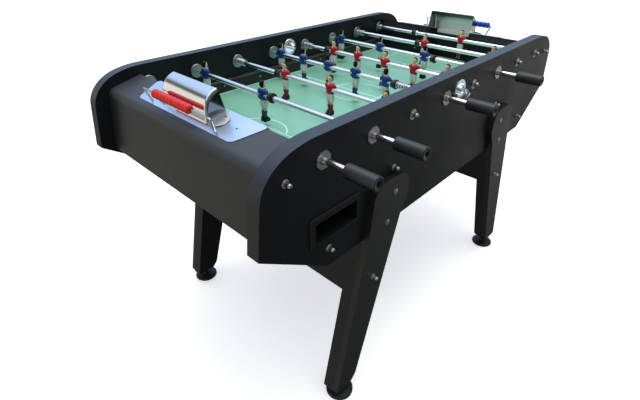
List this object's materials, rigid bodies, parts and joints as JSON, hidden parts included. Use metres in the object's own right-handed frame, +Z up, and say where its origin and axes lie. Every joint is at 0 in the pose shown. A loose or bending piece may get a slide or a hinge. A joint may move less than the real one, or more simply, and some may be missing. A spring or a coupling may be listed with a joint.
{
  "type": "foosball table",
  "caption": "Free-standing table football table with splayed legs, sliding and turning player rods, chrome goal hoods, bead score counters and levelling feet.",
  "frame": {"origin": "on the floor, under the middle of the table", "axes": "+X along the table's length, +Y across it, +Z up; the front side panel is at -Y"},
  "size_m": [1.493, 1.028, 0.932],
  "materials": {
    "black_board": "satin black laminate over board",
    "edge_strip": "satin grey edge strip",
    "grey_board": "satin grey laminate over board",
    "dark_plastic": "matt black",
    "field_laminate": "satin mint laminate over board",
    "black_rubber": "matt black",
    "chrome_sheet": "polished sheet",
    "chrome_rod": "polished",
    "steel_plate": "plated steel",
    "spring_steel": "coiled wire",
    "grip_black": "black with a soft sheen",
    "foot_rubber": "matt black",
    "blue_team": "painted figures, blue shirts",
    "red_team": "painted figures, red shirts",
    "red_bead": "gloss red",
    "blue_bead": "gloss blue"
  },
  "bodies": {
    "root": {"side_panel_front": "black_board", "side_panel_rear": "black_board", "panel_edge_trims": "edge_strip", "end_caps": "grey_board", "end_walls": "black_board", "goal_boxes": "dark_plastic", "playfield": "field_laminate", "side_bands": "black_rubber", "bottom_boards": "black_board", "ball_runways": "black_board", "leg_plates": "black_board", "leg_posts": "black_board", "leg_cross_boards": "black_board", "goal_plates": "chrome_sheet", "goal_hoods": "chrome_sheet", "counter_wires": "chrome_rod", "ball_entry_fittings": "chrome_sheet", "return_slot_frames": "dark_plastic", "rod_bearings": "steel_plate", "inner_rods": "chrome_rod", "buffer_springs": "spring_steel", "fasteners": "chrome_rod"},
    "rod_1_stop": {"rod_1_bumper": "black_rubber"},
    "rod_1": {"rod_1_tube": "chrome_rod", "rod_1_men": "blue_team", "rod_1_grip": "grip_black"},
    "rod_2_stop": {"rod_2_bumper": "black_rubber"},
    "rod_2": {"rod_2_tube": "chrome_rod", "rod_2_men": "blue_team", "rod_2_grip": "grip_black"},
    "rod_3_stop": {"rod_3_bumper": "black_rubber"},
    "rod_3": {"rod_3_tube": "chrome_rod", "rod_3_men": "red_team", "rod_3_grip": "grip_black"},
    "rod_4_stop": {"rod_4_bumper": "black_rubber"},
    "rod_4": {"rod_4_tube": "chrome_rod", "rod_4_men": "blue_team", "rod_4_grip": "grip_black"},
    "rod_5_stop": {"rod_5_bumper": "black_rubber"},
    "rod_5": {"rod_5_tube": "chrome_rod", "rod_5_men": "red_team", "rod_5_grip": "grip_black"},
    "rod_6_stop": {"rod_6_bumper": "black_rubber"},
    "rod_6": {"rod_6_tube": "chrome_rod", "rod_6_men": "blue_team", "rod_6_grip": "grip_black"},
    "rod_7_stop": {"rod_7_bumper": "black_rubber"},
    "rod_7": {"rod_7_tube": "chrome_rod", "rod_7_men": "red_team", "rod_7_grip": "grip_black"},
    "rod_8_stop": {"rod_8_bumper": "black_rubber"},
    "rod_8": {"rod_8_tube": "chrome_rod", "rod_8_men": "red_team", "rod_8_grip": "grip_black"},
    "foot_front_left": {"foot_front_left": "foot_rubber"},
    "foot_front_right": {"foot_front_right": "foot_rubber"},
    "foot_rear_left": {"foot_rear_left": "foot_rubber"},
    "foot_rear_right": {"foot_rear_right": "foot_rubber"},
    "counter_beads_left": {"counter_beads_left": "red_bead"},
    "counter_beads_right": {"counter_beads_right": "blue_bead"}
  },
  "joints": [
    {"name": "rod_1_slide", "type": "slide", "parent": "root", "child": "rod_1_stop", "axis": [0, 1, 0], "range_m": [-0.112, 0.042]},
    {"name": "rod_1_spin", "type": "hinge", "parent": "rod_1_stop", "child": "rod_1", "pos_m": [-0.567, 0, 0.839], "axis": [0, 1, 0], "continuous": true},
    {"name": "rod_2_slide", "type": "slide", "parent": "root", "child": "rod_2_stop", "axis": [0, 1, 0], "range_m": [-0.284, 0.0245], "deforming": ["buffer_springs"]},
    {"name": "rod_2_spin", "type": "hinge", "parent": "rod_2_stop", "child": "rod_2", "pos_m": [-0.405, 0, 0.839], "axis": [0, 1, 0], "continuous": true},
    {"name": "rod_3_slide", "type": "slide", "parent": "root", "child": "rod_3_stop", "axis": [0, 1, 0], "range_m": [-0.0215, 0.1875]},
    {"name": "rod_3_spin", "type": "hinge", "parent": "rod_3_stop", "child": "rod_3", "pos_m": [-0.243, 0, 0.839], "axis": [0, 1, 0], "continuous": true},
    {"name": "rod_4_slide", "type": "slide", "parent": "root", "child": "rod_4_stop", "axis": [0, 1, 0], "range_m": [-0.1075, 0.0165]},
    {"name": "rod_4_spin", "type": "hinge", "parent": "rod_4_stop", "child": "rod_4", "pos_m": [-0.081, 0, 0.839], "axis": [0, 1, 0], "continuous": true},
    {"name": "rod_5_slide", "type": "slide", "parent": "root", "child": "rod_5_stop", "axis": [0, 1, 0], "range_m": [-0.0275, 0.099]},
    {"name": "rod_5_spin", "type": "hinge", "parent": "rod_5_stop", "child": "rod_5", "pos_m": [0.081, 0, 0.839], "axis": [0, 1, 0], "continuous": true},
    {"name": "rod_6_slide", "type": "slide", "parent": "root", "child": "rod_6_stop", "axis": [0, 1, 0], "range_m": [-0.17, 0.0235]},
    {"name": "rod_6_spin", "type": "hinge", "parent": "rod_6_stop", "child": "rod_6", "pos_m": [0.243, 0, 0.839], "axis": [0, 1, 0], "continuous": true},
    {"name": "rod_7_slide", "type": "slide", "parent": "root", "child": "rod_7_stop", "axis": [0, 1, 0], "range_m": [-0.0275, 0.2885]},
    {"name": "rod_7_spin", "type": "hinge", "parent": "rod_7_stop", "child": "rod_7", "pos_m": [0.405, 0, 0.839], "axis": [0, 1, 0], "continuous": true},
    {"name": "rod_8_slide", "type": "slide", "parent": "root", "child": "rod_8_stop", "axis": [0, 1, 0], "range_m": [0, 0.154]},
    {"name": "rod_8_spin", "type": "hinge", "parent": "rod_8_stop", "child": "rod_8", "pos_m": [0.567, 0, 0.839], "axis": [0, 1, 0], "continuous": true},
    {"name": "foot_front_left_thread", "type": "slide", "parent": "root", "child": "foot_front_left", "axis": [0, 0, -1], "range_m": [0, 0.015]},
    {"name": "foot_front_right_thread", "type": "slide", "parent": "root", "child": "foot_front_right", "axis": [0, 0, -1], "range_m": [0, 0.015]},
    {"name": "foot_rear_left_thread", "type": "slide", "parent": "root", "child": "foot_rear_left", "axis": [0, 0, -1], "range_m": [0, 0.015]},
    {"name": "foot_rear_right_thread", "type": "slide", "parent": "root", "child": "foot_rear_right", "axis": [0, 0, -1], "range_m": [0, 0.015]},
    {"name": "counter_left_slide", "type": "slide", "parent": "root", "child": "counter_beads_left", "axis": [0, 1, 0], "range_m": [-0.068, 0.049]},
    {"name": "counter_right_slide", "type": "slide", "parent": "root", "child": "counter_beads_right", "axis": [0, 1, 0], "range_m": [0, 0.12]}
  ]
}
